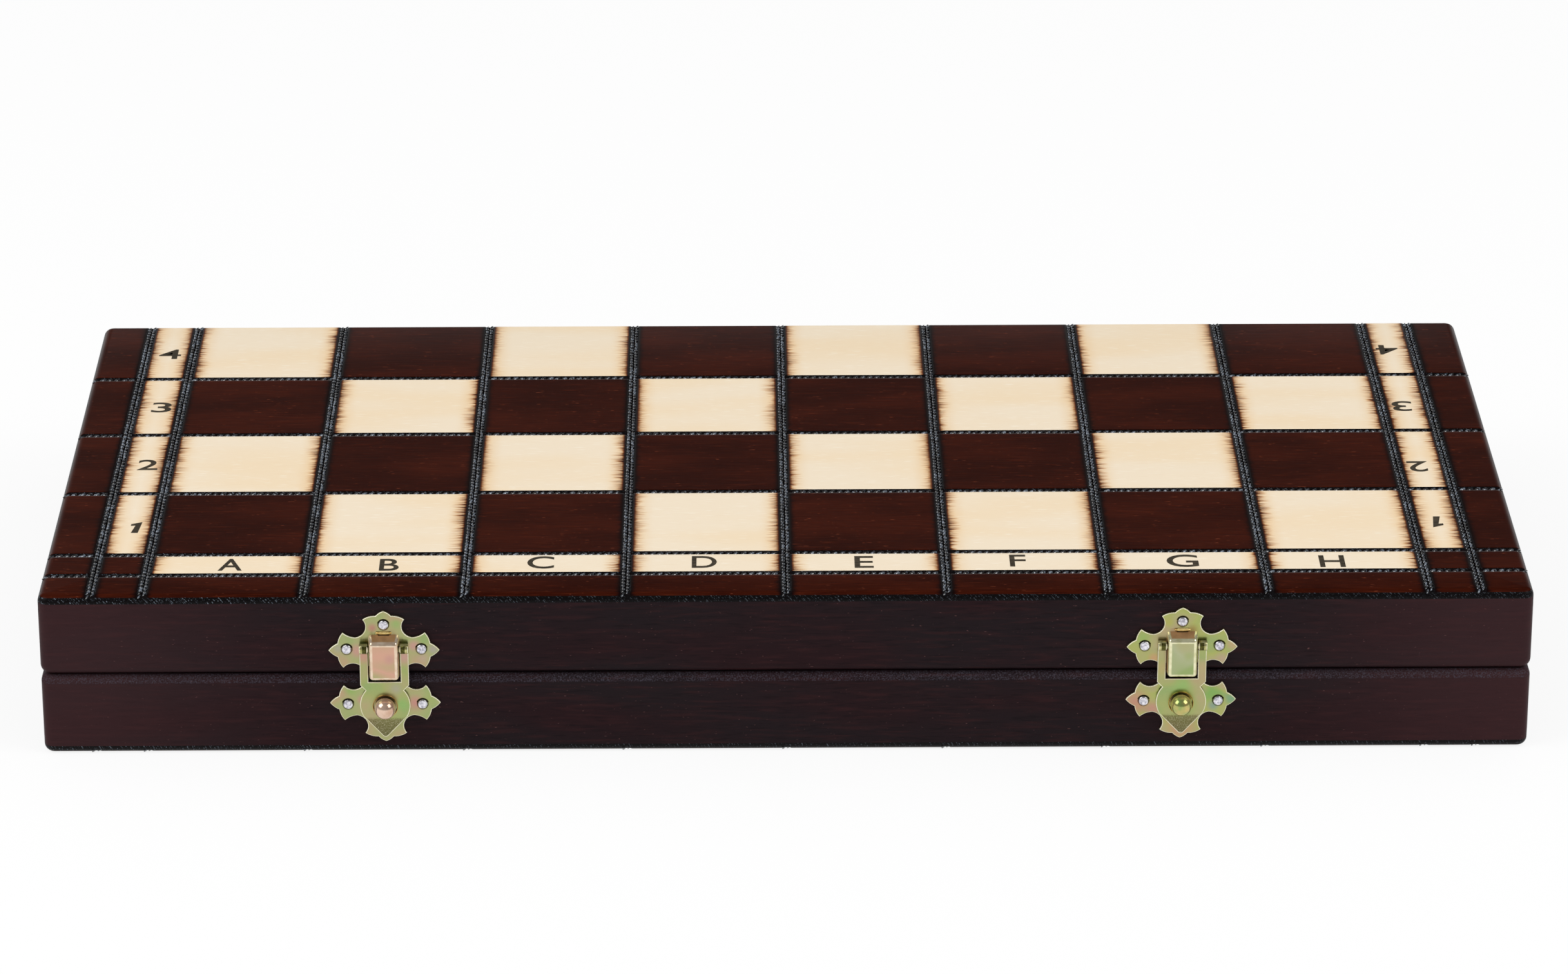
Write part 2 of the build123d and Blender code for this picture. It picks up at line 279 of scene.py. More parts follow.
def stained_birch(plan, sizes, colours):
    """The same veneer under dark reddish stain and lacquer: faint short grain along the files,
    sparse orange-red flecks, and black where the wheel's heat reached."""
    material, tree, place = start_material("dark stained lacquered birch")
    broad = streaks(tree, place, 40, 14)
    wood = laid_over(tree, colours.stained_wood, "#3A1206", broad, 0.35, 0.68)
    # Vessels as in the natural squares: darker lines, and lighter ones where less stain stayed
    pores = streaks(tree, place, 6, 0.42, detail=2.0)
    wood = laid_over(tree, wood, "#1F0705", pores, 0.3, 0.48, 0.45, 0)
    wood = laid_over(tree, wood, "#5E2613", pores, 0.56, 0.8, 0, 0.5)
    fleck = streaks(tree, place, 2.2, 0.36)
    wood = laid_over(tree, wood, "#A5563A", fleck, 0.72, 0.8, 0, 0.45)
    distance = column_distance(tree, place, plan, sizes)
    wander = streaks(tree, place, 10, 0.8, detail=3.0)
    reach = put(tree, "MapRange", (wander, 0.3, 0.7, 0.0009, 0.0022), **SMOOTH)
    share = put(tree, "Math", (distance, reach), operation="DIVIDE")
    wood = laid_over(tree, wood, "#0D0606", share, 0.0, 1.0, 0.96, 0)
    return end_material(material, wood, pores, 0.1, Roughness=0.3, Specular_IOR_Level=0.04)


def charred_strand(colours):
    """Charred wood under thick lacquer on the pressed strands: blue-black with sharp glints, and
    grey-blue specks painted on in patches as more glints.
    """
    material, tree, place = start_material("lacquered charred strand")
    crust = put(tree, "TexNoise", {"Vector": place, "Scale": 1000 / 0.7, "Detail": 2.0})
    patch = put(tree, "TexNoise", {"Vector": place, "Scale": 1000 / 9, "Detail": 1.0})
    # Painted highlights: fine grey-blue specks as glints, more of them in some 9 mm patches
    glint_specks = put(tree, "MapRange", (crust, 0.47, 0.62), **SMOOTH)
    share = put(tree, "MapRange", (patch, 0.35, 0.62, 0.25, 1), **SMOOTH)
    highlit = put(tree, "Math", (glint_specks, share), operation="MULTIPLY")
    colour = put(tree, "Mix", {0: highlit, 6: colours.burnt_wood, 7: "#808A98"}, **COLOUR_MIX)
    return end_material(material, colour, crust, 0.25, 0.0003, Roughness=0.25,
                        Specular_IOR_Level=1.0, Coat_Weight=1.0, Coat_Roughness=0.1,
                        Coat_IOR=2.1)


def charred_groove(colours):
    """The grooves' flanks, charred by the wheel and left almost without gloss."""
    material, tree, place = start_material("charred groove flank")
    crust = put(tree, "TexNoise", {"Vector": place, "Scale": 1000 / 0.6, "Detail": 3.0})
    colour = laid_over(tree, colours.burnt_wood, "#191113", crust, 0.4, 0.7)
    return end_material(material, colour, Roughness=0.6, Specular_IOR_Level=0.04)


def rolled_edge(colours):
    """The faces' rounded edges, scorched black, with the slanted hatching of the wheel's flank
    in their satin lacquer, its ridges painted grey-blue as glints, clearest at the left end."""
    material, tree, place = start_material("scorched hatched edge")
    along, across, height = (put(tree, "SeparateXYZ", (place,), out=axis) for axis in "XYZ")
    # The same slant on all four edges: one of X and Y hardly changes along each of them
    around = put(tree, "Math", (along, across), operation="ADD")
    slanted = put(tree, "Math", (height, 0.7, around), operation="MULTIPLY_ADD")
    lines = put(tree, "CombineXYZ", (slanted,))
    hatch = put(tree, "TexNoise", {"Vector": lines, "Scale": 1000 / 0.42, "Detail": 1.0})
    crust = put(tree, "TexNoise", {"Vector": place, "Scale": 1000 / 0.4, "Detail": 2.0})
    # The hatch's ridges, raised in the relief and painted grey-blue as glints: in specks, fullest at
    # the left end
    hatch_glints = put(tree, "MapRange", (hatch, 0.48, 0.62), **SMOOTH)
    for pattern, low, high, least, most in ((crust, 0.5, 0.64, 0, 1),
                                            (along, -0.13, -0.06, 1.0, 0.45)):
        share = put(tree, "MapRange", (pattern, low, high, least, most), **SMOOTH)
        hatch_glints = put(tree, "Math", (hatch_glints, share), operation="MULTIPLY")
    colour = put(tree, "Mix", {0: hatch_glints, 6: colours.burnt_wood, 7: "#6C747E"}, **COLOUR_MIX)
    return end_material(material, colour, hatch_glints, 0.7, 0.0003, Roughness=0.38,
                        Specular_IOR_Level=0.08)


def frame_stain(plan, sizes, colours, grain_axis):
    """Softwood rails under black-brown stain and satin lacquer: hardly any grain, small reddish
    flecks, painted light towards the ends of the front and the back, and grit on the base's
    upper rim, its specks painted lighter, partly as a highlight."""
    material, tree, place = start_material(
        f"black-brown stained rail, grain along {grain_axis}")
    pores = streaks(tree, place, 5, 0.42, grain_axis, detail=2.0)
    broad = streaks(tree, place, 50, 14, grain_axis)
    ruddy = streaks(tree, place, 9, 0.9, grain_axis, detail=3.0)
    fleck = streaks(tree, place, 1.0, 0.3, grain_axis)
    wood = laid_over(tree, colours.frame_wood, "#251518", broad, 0.35, 0.7)
    wood = laid_over(tree, wood, "#140E11", pores, 0.3, 0.48, 0.45, 0)
    wood = laid_over(tree, wood, "#3A1F20", ruddy, 0.46, 0.76, 0, 0.42)
    wood = laid_over(tree, wood, "#6A4A48", fleck, 0.74, 0.82, 0, 0.7)
    # Painted light: the front and the back painted lighter towards both ends
    if grain_axis == "X":
        along = put(tree, "SeparateXYZ", (place,), out="X")
        from_middle = put(tree, "Math", (along,), operation="ABSOLUTE")
        wood = laid_over(tree, wood, "#43292B", from_middle, plan.half_length - 0.07,
                         plan.half_length, 0, 0.5)
    # Sawn grit of 0.2 mm on the base's rim, drawn at 0.3 mm so that it shows. Its specks are
    # painted lighter grey-blue: partly grit, partly a painted highlight on the upward-facing rim
    grit = put(tree, "TexNoise", {"Vector": place, "Scale": 1000 / 0.3, "Detail": 2.0})
    height = put(tree, "SeparateXYZ", (place,), out="Z")
    below_seam = put(tree, "Math", (plan.middle, height), operation="SUBTRACT")
    on_base = put(tree, "MapRange", (below_seam, 0.0, 0.0002), **SMOOTH)
    above_front = put(tree, "MapRange", (below_seam, sizes.edge_radius,
                                         sizes.edge_radius + 0.0005, 1, 0), **SMOOTH)
    rim = put(tree, "Math", (on_base, above_front), operation="MULTIPLY")
    grit_and_highlight = put(tree, "Math", (rim, grit), operation="MULTIPLY")
    wood = laid_over(tree, wood, "#4A4650", grit_and_highlight, 0.4, 0.8, 0, 0.8)
    roughness = put(tree, "MapRange", (rim, 0, 1, 0.42, 0.65), **SMOOTH)
    surface = put(tree, "Math", (pores, 0.3, grit_and_highlight), operation="MULTIPLY_ADD")
    return end_material(material, wood, surface, 0.35, 0.0003, Roughness=roughness,
                        Specular_IOR_Level=0.05)


def stamping_ink(colours):
    """Dark ink stamped on lacquer: thin and a little patchy, so the wood shows through it."""
    material, tree, place = start_material("stamped ink")
    patchy = streaks(tree, place, 2.5, 0.5, detail=3.0)
    colour = laid_over(tree, colours.ink, "#6E6250", patchy, 0.45, 0.75, 0, 0.45)
    return end_material(material, colour, Roughness=0.55, Specular_IOR_Level=0.12)


def passivated_zinc(name, base, tints, patch_mm=7.0, shift=0.0, roughness=0.3, bent_at=None):
    """Zinc plate, yellow passivated: a thin chromate film that drifts from olive gold to pink
    and green over several millimetres. tints are (point, radius, hex) colours of the film at known
    places, and on the right upper plate one patch of painted shade. Below the height bent_at the
    sheet is darker and grained by bending, its brightest marks painted near-white as glints."""
    material, tree, place = start_material(name)
    upright = put(tree, "Mapping", {"Vector": place, "Scale": (1, 0, 1)})
    moved = put(tree, "Mapping", {"Vector": place, "Location": (shift, 0, shift)})
    drift = put(tree, "TexNoise",
                {"Vector": moved, "Scale": 1000 / patch_mm, "Detail": 1.5, "Distortion": 0.6})
    colour = put(tree, "ValToRGB", (drift,), stops=[(0.3, "#98AA6E"), (0.46, base),
                                                    (0.62, "#B0AA7A"), (0.78, "#BCA080")])
    for point, radius, tint in tints:
        gap = put(tree, "VectorMath", (upright, (point.x, 0, point.z)), out="Value",
                  operation="DISTANCE")
        wobble = put(tree, "Math", (drift, radius, gap), operation="MULTIPLY_ADD")
        colour = laid_over(tree, colour, tint, wobble, radius * 0.55, radius * 1.8, 0.85, 0)
    relief = None
    if bent_at is not None:
        # Stretch marks of 0.15 mm where the sheet was bent
        marks = put(tree, "TexNoise",
                    {"Vector": place, "Scale": 1000 / 0.15, "Detail": 4.0, "Roughness": 0.7})
        height = put(tree, "SeparateXYZ", (place,), out="Z")
        ragged = put(tree, "Math", (marks, 0.0012, height), operation="MULTIPLY_ADD")
        bent = put(tree, "MapRange", (ragged, bent_at + 0.0001, bent_at + 0.0013, 1, 0),
                   **SMOOTH)
        colour = laid_over(tree, colour, "#686038", bent, 0, 1, 0, 0.85)
        # Painted highlights: the brightest stretch marks on the bent part painted near-white as
        # glints
        bright = put(tree, "MapRange", (marks, 0.5, 0.7, 0, 0.75), **SMOOTH)
        painted_sparkle = put(tree, "Math", (bright, bent), operation="MULTIPLY")
        colour = put(tree, "Mix", {0: painted_sparkle, 6: colour, 7: "#F2ECC6"}, **COLOUR_MIX)
        relief = put(tree, "Math", (marks, bent), operation="MULTIPLY")
    gloss = put(tree, "MapRange", (drift, 0.3, 0.7, roughness - 0.03, roughness + 0.04),
                **SMOOTH)
    return end_material(material, colour, relief, 0.5, 0.0001, Metallic=1.0, Roughness=gloss)


def bright_metal(name, light, dark, roughness, grit_mm=0.4, relief=0.15, metallic=1.0):
    """Bare or plated metal with small marks: two tones mixed by fine noise. A thick chromate
    film makes it a little less metallic."""
    material, tree, place = start_material(name)
    marks = put(tree, "TexNoise", {"Vector": place, "Scale": 1000 / grit_mm, "Detail": 3.0})
    colour = laid_over(tree, light, dark, marks, 0.35, 0.7)
    return end_material(material, colour, marks if relief else None, relief,
                        Metallic=metallic, Roughness=roughness)


def liner_felt(colours):
    """Pressed wool felt, 1 mm: matt, with a short nap of 0.4 mm tufts and faint cloudy patches."""
    material, tree, place = start_material("pressed wool felt")
    nap = put(tree, "TexNoise", {"Vector": place, "Scale": 1000 / 0.8, "Detail": 4.0})
    clouds = put(tree, "TexNoise", {"Vector": place, "Scale": 1000 / 25, "Detail": 2.0})
    wool = laid_over(tree, colours.felt, "#23633F", clouds, 0.3, 0.7)
    wool = laid_over(tree, wool, "#103A22", nap, 0.4, 0.65, 0.55, 0)
    return end_material(material, wool, nap, 0.5, 0.0004, Roughness=0.95,
                        Specular_IOR_Level=0.1, Sheen_Weight=0.35, Sheen_Roughness=0.5)


# Making pieces

def object_from(bm, name):
    """Makes a bmesh an object of the scene."""
    mesh = bpy.data.meshes.new(name)
    bm.to_mesh(mesh)
    bm.free()
    made = bpy.data.objects.new(name, mesh)
    bpy.context.scene.collection.objects.link(made)
    return made


def finish_piece(bm, name, materials, body, stands_for=(), smooth=35.0):
    """Turns a bmesh into a piece that rides on a body, smooth below an angle in degrees."""
    piece = object_from(bm, name)
    piece.data.shade_smooth()
    piece.data.set_sharp_from_angle(angle=math.radians(smooth))
    for material in materials:
        piece.data.materials.append(material)
    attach(piece, body)
    if stands_for:
        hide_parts(*stands_for)
    return piece


def paint_node(name, material):
    """Gives a CAD node that keeps its shape a finished material."""
    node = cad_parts[name]
    node.data.materials.clear()
    node.data.materials.append(material)
    for slot in node.material_slots:
        slot.material = material


def settings():
    """The board's plan, the sizes and the colours."""
    scene = bpy.context.scene
    return BoardPlan(scene.chess_box_sizes), scene.chess_box_sizes, scene.chess_box_colours


def turned_over(bm, plan):
    """Turns the lid's piece over to its place in the base."""
    flip = Matrix.Translation((0, 0, 2 * plan.middle)) @ Matrix.Diagonal((1, 1, -1, 1))
    bmesh.ops.transform(bm, matrix=flip, verts=bm.verts)
    bmesh.ops.reverse_faces(bm, faces=bm.faces)


def add_to(whole, part):
    """Moves all of one bmesh into another."""
    mesh = bpy.data.meshes.new("part")
    part.to_mesh(mesh)
    part.free()
    whole.from_mesh(mesh)
    bpy.data.meshes.remove(mesh)


def with_edges(faces):
    """Faces together with their edges and corners, each of them once."""
    return list(dict.fromkeys(item for f in faces for item in (f, *f.edges, *f.verts)))


def bevel_edges(bm, edges, width, segments, clamp=True):
    """Rounds edges and returns the new faces."""
    return bmesh.ops.bevel(bm, geom=edges, offset=width, affect="EDGES", segments=segments,
                           profile=0.5, material=-1, clamp_overlap=clamp)["faces"]


class CHESSBOX_OT_panels(bpy.types.Operator):
    """Makes the two play panels with their squares and burnt grooves"""

    bl_idname = "chess_box.panels"
    bl_label = "Play Panels"

    # Order of the materials on a board
    STAINED, NATURAL, GROOVE, EDGE, LONG_SIDE, END = range(6)
    # Upright share of a normal under which the rounded edge is scorched, and at which the
    # grooves have run out
    SCORCHED_BELOW = 0.77
    RUN_OUT = 0.8
    # Lines cut along each groove, in its widths from its middle
    CUTS = (-0.75, -0.5, -0.36, -0.2, 0, 0.2, 0.36, 0.5, 0.75)
    # Power of a groove's hollow, and what a groove that runs left to right has of its depth
    HOLLOW = 2.5
    ROW_SHARE = 0.75
    # How far the long sides' grain goes round the corners
    CORNER = 0.0015
    ROUNDING_STEPS = 6

    def execute(self, context):
        plan, sizes, colours = settings()
        materials = [stained_birch(plan, sizes, colours), natural_birch(plan, sizes, colours),
                     charred_groove(colours), rolled_edge(colours),
                     frame_stain(plan, sizes, colours, "X"), frame_stain(plan, sizes, colours, "Y")]
        for half in HALVES:
            bm = self.slab(plan, sizes)
            self.cut(bm, plan, sizes)
            self.press_grooves(bm, plan, sizes)
            self.paint(bm, plan, sizes, half)
            if half == "base":
                turned_over(bm, plan)
            finish_piece(bm, f"{half}_board", materials, half,
                         [f"{half}_play_panel"], smooth=50.0)
        return {"FINISHED"}

    def slab(self, plan, sizes):
        """A panel with its corners and the rim of its outer face rounded."""
        bm = bmesh.new()
        low, high = PANEL_LOW.z, plan.top
        size = Matrix.Diagonal((2 * plan.half_length, 2 * plan.half_depth, high - low, 1))
        centre = Matrix.Translation((0, 0, (low + high) / 2))
        bmesh.ops.create_cube(bm, size=1, matrix=centre @ size)
        upright = [e for e in bm.edges if abs(e.verts[0].co.z - e.verts[1].co.z) > OWN_MERGE]
        bevel_edges(bm, upright, sizes.corner_radius, self.ROUNDING_STEPS)
        rim = [e for e in bm.edges if all(v.co.z > high - OWN_MERGE for v in e.verts)]
        bevel_edges(bm, rim, sizes.edge_radius, self.ROUNDING_STEPS)
        return bm

    def cut(self, bm, plan, sizes):
        """Cuts the outer faces along the grooves, finely enough to press them in."""
        lines = [((x + cut * sizes.groove_width, 0, 0), (1, 0, 0))
                 for x in plan.columns for cut in self.CUTS]
        lines += [((0, y + cut * sizes.row_groove_width, 0), (0, 1, 0))
                  for y in plan.rows for cut in self.CUTS]
        for point, normal in lines:
            all_but_inside = [f for f in bm.faces if f.normal.z > -0.5]
            bmesh.ops.bisect_plane(bm, geom=with_edges(all_but_inside), dist=OWN_MERGE,
                                   plane_co=point, plane_no=normal)

    def press_grooves(self, bm, plan, sizes):
        """Presses the cut lines in. Towards the sides of the panel the grooves run out."""
        def depth(gap, width):
            share = min(1.0, abs(gap) / (width / 2))
            return sizes.groove_depth * (1 - share ** self.HOLLOW)
        moves = []
        for vert in bm.verts:
            if vert.normal.z < self.RUN_OUT:
                continue
            column = depth(plan.to_column(vert.co.x), sizes.groove_width)
            row = depth(plan.to_row(vert.co.y), sizes.row_groove_width)
            deep = max(column, self.ROW_SHARE * row)
            run_out = (vert.normal.z - self.RUN_OUT) / (1 - self.RUN_OUT)
            moves.append((vert, vert.normal * -deep * run_out))
        for vert, move in moves:
            vert.co += move
        bm.normal_update()

    def paint(self, bm, plan, sizes, half):
        """Gives each face of the panel its own wood."""
        for face in bm.faces:
            centre = face.calc_center_median()
            if centre.z < plan.top - sizes.edge_radius:
                on_long_side = abs(centre.y) > plan.half_depth - self.CORNER
                face.material_index = self.LONG_SIDE if on_long_side else self.END
            elif face.normal.z < self.SCORCHED_BELOW:
                face.material_index = self.EDGE
            elif plan.on_column(centre.x) or plan.on_row(centre.y):
                face.material_index = self.GROOVE
            elif plan.is_light(centre.x, centre.y, half):
                face.material_index = self.NATURAL
            else:
                face.material_index = self.STAINED


class CHESSBOX_OT_strands(bpy.types.Operator):
    """Lays the pressed strands in the grooves: two rows side by side front to back, one across"""

    bl_idname = "chess_box.strands"
    bl_label = "Groove Strands"

    # A strand's width, length and height, its depth below the face, and its lean in degrees
    PLAITED_SIZE, PLAITED_DEPTH, PLAITED_LEAN = (0.00062, 0.0026, 0.00076), 0.00036, -20
    ROW_SIZE, ROW_DEPTH, ROW_LEAN = (0.00094, 0.0025, 0.00084), 0.00040, -48
    # From the middle of a groove to each of its two rows of strands
    PLAITED_OFFSET = 0.00054
    # Where the strands end, in edge radii from the side of the panel
    END = 0.55
    STRANDS_IN_RUN = 10

    def execute(self, context):
        plan, sizes, colours = settings()
        material = charred_strand(colours)
        chance = random.Random(sizes.random_seed)
        for half in HALVES:
            runs = {"plaited_strands": [], "row_strands": []}
            for x in plan.columns:
                runs["plaited_strands"] += self.plait(plan, sizes, x, chance)
            for y in plan.rows:
                runs["row_strands"] += self.row(plan, sizes, y, chance)
            for name, places in runs.items():
                bm = self.lay(places)
                if half == "base":
                    turned_over(bm, plan)
                finish_piece(bm, f"{half}_{name}", [material], half, smooth=80.0)
        return {"FINISHED"}

    def lay(self, places):
        """One mesh of all strands, joined from short runs because long meshes slow each call."""
        whole = bmesh.new()
        for start in range(0, len(places), self.STRANDS_IN_RUN):
            run = bmesh.new()
            for place in places[start:start + self.STRANDS_IN_RUN]:
                bmesh.ops.create_uvsphere(run, u_segments=6, v_segments=4, radius=0.5,
                                          matrix=place)
            add_to(whole, run)
        return whole

    def sinking(self, along, half, sizes):
        """How far the rounded edge has dropped at a strand's end."""
        past = max(0.0, abs(along) - (half - sizes.edge_radius))
        return sizes.edge_radius - math.sqrt(sizes.edge_radius ** 2 - past ** 2)

    def strand(self, spot, lean, size, chance):
        """The place, lean and size of one strand, a little thinner or thicker than the next."""
        wide, long, high = size
        swell = chance.uniform(0.9, 1.1)
        return (Matrix.Translation(spot) @ Matrix.Rotation(math.radians(lean), 4, "Z")
                @ Matrix.Diagonal((wide * swell, long, high * swell, 1)))

    def plait(self, plan, sizes, x, chance):
        """Two rows of strands along a groove that runs front to back."""
        places = []
        reach = plan.half_depth - sizes.edge_radius * self.END
        count = int(2 * reach / sizes.strand_pitch)
        for side in (-1, 1):
            for k in range(count + 1):
                y = -reach + (k + 0.25 * side + 0.25) * 2 * reach / (count + 0.5)
                z = plan.top - self.PLAITED_DEPTH - self.sinking(y, plan.half_depth, sizes)
                lean = self.PLAITED_LEAN - chance.uniform(-4, 4)
                aside = side * (self.PLAITED_OFFSET + chance.uniform(-0.00004, 0.00004))
                places.append(self.strand((x + aside, y, z), lean, self.PLAITED_SIZE, chance))
        return places

    def row(self, plan, sizes, y, chance):
        """One row of strands along a groove that runs left to right, left out where it crosses
        the others."""
        places = []
        reach = plan.half_length - sizes.edge_radius * self.END
        count = int(2 * reach / sizes.strand_pitch)
        for k in range(count + 1):
            x = -reach + k * 2 * reach / count
            if plan.on_column(x):
                continue
            z = plan.top - self.ROW_DEPTH - self.sinking(x, plan.half_length, sizes)
            lean = self.ROW_LEAN + chance.uniform(-6, 6)
            places.append(self.strand((x, y, z), lean, self.ROW_SIZE, chance))
        return places


class CHESSBOX_OT_letters(bpy.types.Operator):
    """Stamps the letters A to H and the numbers on both halves of the board"""

    bl_idname = "chess_box.letters"
    bl_label = "Letters and Numbers"

    # Width, height, and how far the stamp missed its place to the right and to the front
    LETTERS = (("A", 0.0057, 0.0070, 0.0007, 0.0009), ("B", 0.0046, 0.0070, 0.0005, 0.0013),
               ("C", 0.00635, 0.0073, -0.0014, 0.0003), ("D", 0.0059, 0.0070, -0.0004, 0.0004),
               ("E", 0.0045, 0.0070, -0.0003, 0.0008), ("F", 0.0038, 0.0070, -0.0016, 0.0004),
               ("G", 0.0075, 0.0073, -0.0003, 0.0009), ("H", 0.0060, 0.0070, -0.0026, 0.0015))
    NUMBER_HEIGHT = 0.0066
    NUMBER_WIDTHS = {"1": 0.0026, "2": 0.0050, "3": 0.0050, "4": 0.0056,
                     "5": 0.0047, "6": 0.0050, "7": 0.0048, "8": 0.0050}
    # The stamp's one leans and has a flag: half widths and half heights of its corners
    ONE = ((0.9, 1.0), (0.45, -1.0), (-0.75, -1.0), (-0.2, 0.36), (-1.0, 0.30), (-1.0, 0.62))
    STROKE = 0.00012
    # The ink's thickness, and the height of its middle above the wood, in face insets
    INK_THICKNESS, INK_LEVEL = 0.8, 0.5
    # Where they are, in squares: from the board's middle and from the hinge side
    LETTER_ROW = 4.1375
    LEFT_PLACES = ((-4.158, 0.540), (-4.135, 1.511), (-4.140, 2.514), (-4.128, 3.557))
    RIGHT_PLACES = ((4.137, 0.545), (4.135, 1.575), (4.130, 2.628), (4.159, 3.553))

    def execute(self, context):
        plan, sizes, colours = settings()
        material = stamping_ink(colours)
        for half in HALVES:
            bm = bmesh.new()
            for file, (text, wide, high, aside, down) in enumerate(self.LETTERS):
                x = (file + 0.5 - FILES / 2) * plan.pitch + aside
                y = plan.half_depth - self.LETTER_ROW * plan.pitch - down
                self.stamp(bm, text, (wide, high), (x, y), plan, sizes, half, half == "base")
            for rank in range(RANKS_PER_HALF):
                text = str(RANKS_PER_HALF - rank if half == "lid" else RANKS_PER_HALF + 1 + rank)
                size = (self.NUMBER_WIDTHS[text], self.NUMBER_HEIGHT)
                for places, upside_down in ((self.LEFT_PLACES, False), (self.RIGHT_PLACES, True)):
                    aside, from_hinge = places[rank]
                    place = (aside * plan.pitch, plan.half_depth - from_hinge * plan.pitch)
                    self.stamp(bm, text, size, place, plan, sizes, half, upside_down)
            if half == "base":
                turned_over(bm, plan)
            finish_piece(bm, f"{half}_stamped_letters", [material], half)
        return {"FINISHED"}

    def glyph(self, text, thickness):
        """A letter or number as a thin plate, in its own place and size."""
        part = bmesh.new()
        if text == "1":
            face = part.faces.new([part.verts.new((x, y, 0)) for x, y in self.ONE])
            raised = bmesh.ops.extrude_face_region(part, geom=[face])["geom"]
            corners = [item for item in raised if isinstance(item, bmesh.types.BMVert)]
            bmesh.ops.translate(part, verts=corners, vec=(0, 0, thickness))
            bmesh.ops.recalc_face_normals(part, faces=part.faces)
            return part
        curve = bpy.data.curves.new("letter", "FONT")
        curve.body = text
        curve.resolution_u = 5
        curve.size = 0.01
        curve.offset = self.STROKE
        curve.extrude = thickness / 2
        letter = bpy.data.objects.new("letter", curve)
        bpy.context.scene.collection.objects.link(letter)
        mesh = bpy.data.meshes.new_from_object(letter)
        bpy.data.objects.remove(letter)
        bpy.data.curves.remove(curve)
        part.from_mesh(mesh)
        bpy.data.meshes.remove(mesh)
        bmesh.ops.remove_doubles(part, verts=part.verts, dist=OWN_MERGE)
        return part

    def stamp(self, bm, text, size, place, plan, sizes, half, upside_down):
        """Adds a letter or number of a given width and height at a place on the board."""
        part = self.glyph(text, sizes.face_inset * self.INK_THICKNESS)
        low = Vector([min(v.co[i] for v in part.verts) for i in range(3)])
        high = Vector([max(v.co[i] for v in part.verts) for i in range(3)])
        scale = Matrix.Diagonal((size[0] / (high.x - low.x), size[1] / (high.y - low.y), 1, 1))
        centred = scale @ Matrix.Translation(-(low + high) / 2)
        turn = Matrix.Rotation(math.pi if upside_down else 0, 4, "Z")
        if half == "base":
            # Mirrored now, so that it reads the right way once it is turned over
            turn = turn @ Matrix.Diagonal((1, -1, 1, 1))
            bmesh.ops.reverse_faces(part, faces=part.faces)
        level = plan.top + sizes.face_inset * self.INK_LEVEL
        move = Matrix.Translation((place[0], place[1], level)) @ turn @ centred
        bmesh.ops.transform(part, matrix=move, verts=part.verts)
        add_to(bm, part)


class CHESSBOX_OT_rails(bpy.types.Operator):
    """Stains the rails of both trays"""

    bl_idname = "chess_box.rails"
    bl_label = "Rails"

    def execute(self, context):
        plan, sizes, colours = settings()
        for grain_axis, sides in (("X", ("front", "back")), ("Y", ("left", "right"))):
            material = frame_stain(plan, sizes, colours, grain_axis)
            for half in HALVES:
                for side in sides:
                    paint_node(f"{half}_{side}_rail", material)
        return {"FINISHED"}


def cleaned_copy(name):
    """The merged mesh of a CAD node, with flat faces joined up."""
    bm = bmesh.new()
    bm.from_mesh(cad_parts[name].data)
    bmesh.ops.remove_doubles(bm, verts=bm.verts, dist=CAD_MERGE)
    bmesh.ops.dissolve_limit(bm, angle_limit=math.radians(1), verts=bm.verts, edges=bm.edges)
    return bm


def soften(bm, width, mark=None):
    """Bevels the edges of a copy that turn by more than 38 degrees. With mark it bevels the
    front's outlines alone, and gives the new faces that material."""
    sharp = [e for e in bm.edges if e.is_manifold and math.degrees(e.calc_face_angle()) > 38]
    if mark is None:
        bevel_edges(bm, sharp, width, 3)
        return
    outlines = [e for e in sharp if min(f.normal.y for f in e.link_faces) < -0.7]
    for face in bevel_edges(bm, outlines, width, 3, clamp=False):
        face.material_index = mark


